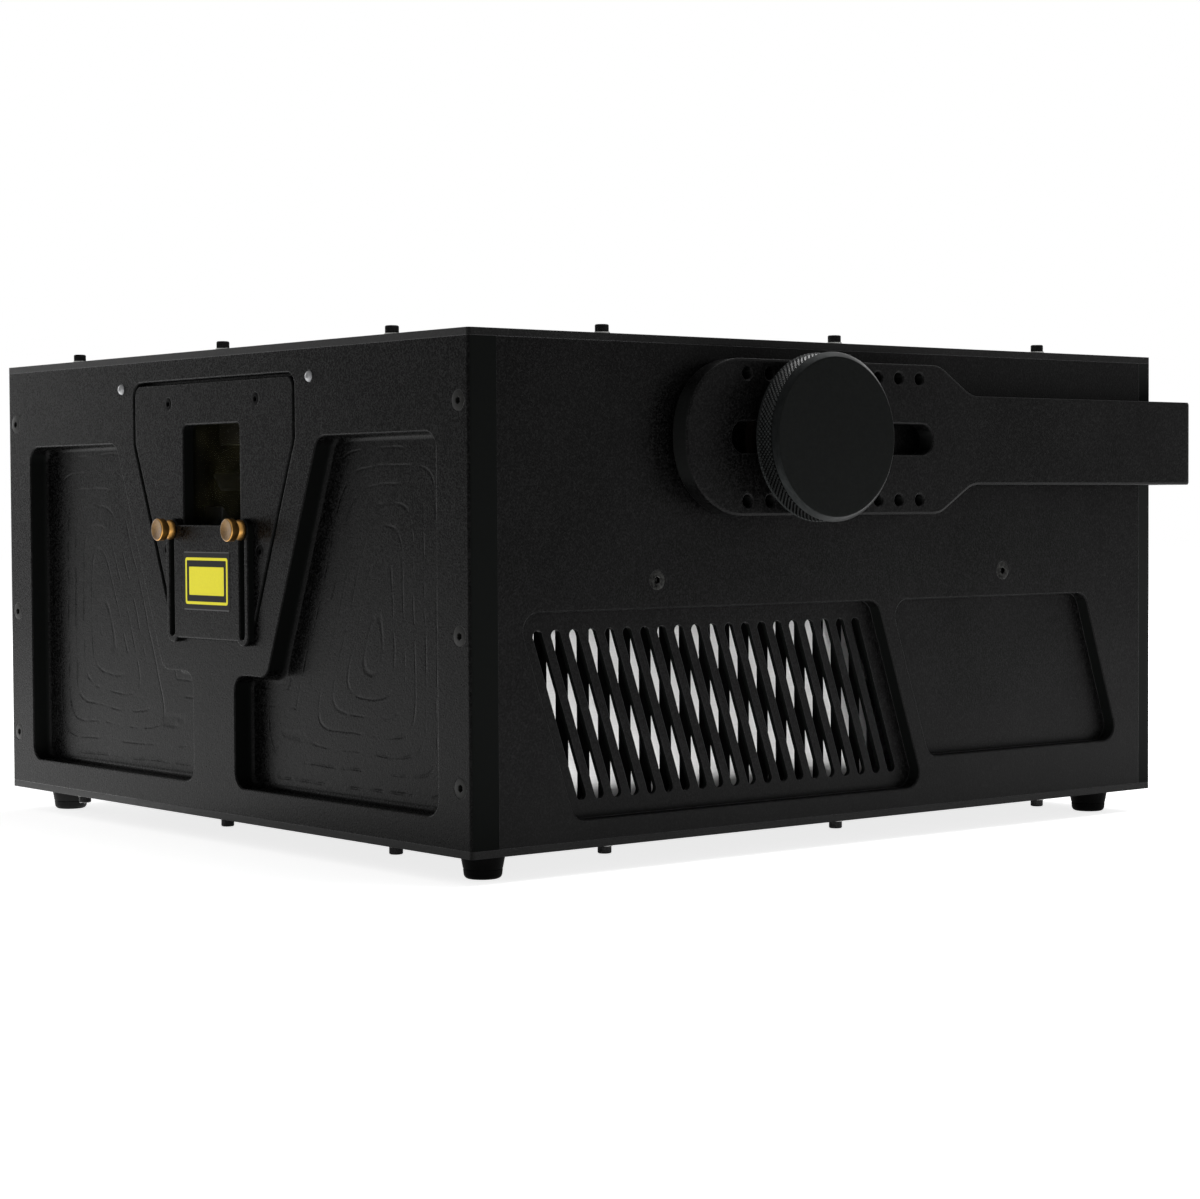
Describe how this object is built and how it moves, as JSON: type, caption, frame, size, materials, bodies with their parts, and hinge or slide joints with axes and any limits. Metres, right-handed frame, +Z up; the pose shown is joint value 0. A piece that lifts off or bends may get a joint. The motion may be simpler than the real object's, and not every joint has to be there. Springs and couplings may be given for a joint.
{
  "type": "laser show projector",
  "caption": "Boxy laser projector of milled black plates with raked side grilles, a sliding beam mask and a tilting slotted U-yoke clamped by round knobs.",
  "frame": {"origin": "on the floor under the feet, below the centre of the whole projector's box", "axes": "+Z up, -Y the way the beam leaves, +X the projector's side that is on the right when it is seen from the front"},
  "size_m": [0.43, 0.4174, 0.2143],
  "materials": {
    "black_anodised": "fine bead-blasted black anodised",
    "bare_aluminium": "machined, bare",
    "black_hardware": "black oxide steel",
    "plated_steel": "zinc plated",
    "brass": "turned, polished",
    "black_rubber": "matt",
    "led_lens": "milky clear",
    "window_glass": "clear, coated",
    "mirror": "coated optical mirror",
    "black_plastic": "moulded",
    "circuit_board": "solder mask",
    "supply_case": "sheet case",
    "friction_lining": "fibre"
  },
  "bodies": {
    "casing": {"front_plate": "black_anodised", "rear_plate": "black_anodised", "right_side_plate": "black_anodised", "left_side_plate": "black_anodised", "top_cover": "black_anodised", "base_cover": "black_anodised", "aperture_cover": "black_anodised", "heat_sink": "black_anodised", "scanner_block": "black_anodised", "red_laser_module": "black_anodised", "green_laser_module": "black_anodised", "blue_laser_module": "black_anodised", "optical_bench": "bare_aluminium", "mirror_mounts": "bare_aluminium", "board_standoffs": "bare_aluminium", "cover_screws": "black_hardware", "front_plate_screws": "black_hardware", "rear_plate_screws": "black_hardware", "bench_screws": "black_hardware", "aperture_cover_screws": "black_hardware", "foot_screws": "black_hardware", "cover_washers": "plated_steel", "pivot_studs": "plated_steel", "vertical_galvo": "plated_steel", "horizontal_galvo": "plated_steel", "shutter_motor": "plated_steel", "key_switch": "plated_steel", "rubber_feet": "black_rubber", "status_leds": "led_lens", "aperture_glass": "window_glass", "combining_mirrors": "mirror", "fold_mirror": "mirror", "front_fan_frame": "black_plastic", "rear_fan_frame": "black_plastic", "power_inlet": "black_plastic", "power_outlet": "black_plastic", "interlock_socket": "black_plastic", "network_socket": "black_plastic", "control_sockets": "black_plastic", "signal_socket": "black_plastic", "fuse_holder": "black_plastic", "scanner_driver": "circuit_board", "control_board": "circuit_board", "power_supply": "supply_case", "laser_driver": "supply_case"},
    "yoke_pivot": {"friction_discs": "friction_lining", "clamp_washers": "plated_steel"},
    "yoke": {"yoke_bracket": "black_anodised", "clamp_bush": "plated_steel"},
    "right_knob": {"right_knob": "black_anodised"},
    "left_knob": {"left_knob": "black_anodised"},
    "mask": {"mask_plate": "black_anodised"},
    "right_thumbscrew": {"right_thumbscrew": "brass"},
    "left_thumbscrew": {"left_thumbscrew": "brass"},
    "horizontal_scanner": {"horizontal_mirror": "mirror"},
    "vertical_scanner": {"vertical_mirror": "mirror"},
    "shutter": {"shutter_flag": "plated_steel"},
    "front_fan": {"front_fan_rotor": "black_plastic"},
    "rear_fan": {"rear_fan_rotor": "black_plastic"},
    "key": {"key": "plated_steel"}
  },
  "joints": [
    {"name": "yoke_tilt", "type": "hinge", "parent": "casing", "child": "yoke_pivot", "pos_m": [0, -0.03628, 0.1705], "axis": [1, 0, 0], "range_deg": [-5, 270]},
    {"name": "yoke_shift", "type": "slide", "parent": "yoke_pivot", "child": "yoke", "axis": [0, 1, 0], "range_m": [0, 0.034]},
    {"name": "right_knob_turn", "type": "hinge", "parent": "casing", "child": "right_knob", "pos_m": [0.2, -0.03628, 0.1705], "axis": [1, 0, 0], "range_deg": [0, 540]},
    {"name": "left_knob_turn", "type": "hinge", "parent": "casing", "child": "left_knob", "pos_m": [-0.2, -0.03628, 0.1705], "axis": [-1, 0, 0], "range_deg": [0, 540]},
    {"name": "mask_slide", "type": "slide", "parent": "casing", "child": "mask", "axis": [0, 0, 1], "range_m": [0, 0.044]},
    {"name": "right_thumbscrew_turn", "type": "hinge", "parent": "casing", "child": "right_thumbscrew", "pos_m": [0.0285, -0.20128, 0.134], "axis": [0, -1, 0], "range_deg": [0, 540]},
    {"name": "left_thumbscrew_turn", "type": "hinge", "parent": "casing", "child": "left_thumbscrew", "pos_m": [-0.0285, -0.20128, 0.134], "axis": [0, -1, 0], "range_deg": [0, 540]},
    {"name": "horizontal_scan", "type": "hinge", "parent": "casing", "child": "horizontal_scanner", "pos_m": [0, -0.17228, 0.1545], "axis": [0, 0, 1], "range_deg": [-20, 20]},
    {"name": "vertical_scan", "type": "hinge", "parent": "casing", "child": "vertical_scanner", "pos_m": [-0.029, -0.17228, 0.1545], "axis": [0, 1, 0], "range_deg": [-20, 20]},
    {"name": "shutter_swing", "type": "hinge", "parent": "casing", "child": "shutter", "pos_m": [-0.054, -0.11228, 0.1358], "axis": [0, -1, 0], "range_deg": [0, 40]},
    {"name": "front_fan_spin", "type": "hinge", "parent": "casing", "child": "front_fan", "pos_m": [0, -0.10513, 0.0598], "axis": [1, 0, 0], "continuous": true},
    {"name": "rear_fan_spin", "type": "hinge", "parent": "casing", "child": "rear_fan", "pos_m": [0, -0.02313, 0.0598], "axis": [1, 0, 0], "continuous": true},
    {"name": "key_turn", "type": "hinge", "parent": "casing", "child": "key", "pos_m": [-0.048, 0.19372, 0.0765], "axis": [0, 1, 0], "range_deg": [0, 90]}
  ]
}
